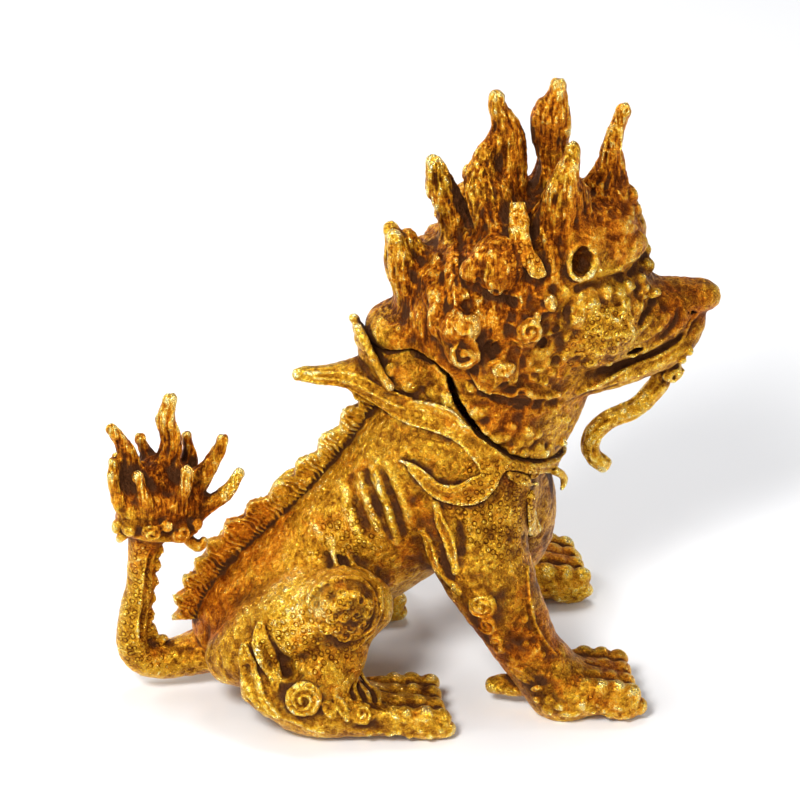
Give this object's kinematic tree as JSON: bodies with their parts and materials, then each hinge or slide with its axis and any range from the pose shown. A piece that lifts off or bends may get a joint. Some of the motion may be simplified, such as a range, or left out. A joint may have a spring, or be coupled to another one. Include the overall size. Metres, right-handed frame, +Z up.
{
  "type": "pixiu statue",
  "caption": "seated pixiu with a flame mane, a saw-toothed spine and a raised flame tail; the hollow head is a loose cover that rests on the hollow body's neck",
  "frame": {"origin": "the centre of the bounding box in plan, on the ground that the paws stand on", "axes": "+X is the way the beast faces, +Z is up, and -Y is its right side, which the picture shows"},
  "size_m": [0.2094, 0.1108, 0.2141],
  "materials": {
    "body": "worn gilding, polished on the high points, with orange and brown patina in the hollows",
    "head": "worn gilding, polished on the high points, with orange and brown patina in the hollows"
  },
  "bodies": {
    "root": {"body": "body", "head": "head"}
  },
  "joints": []
}
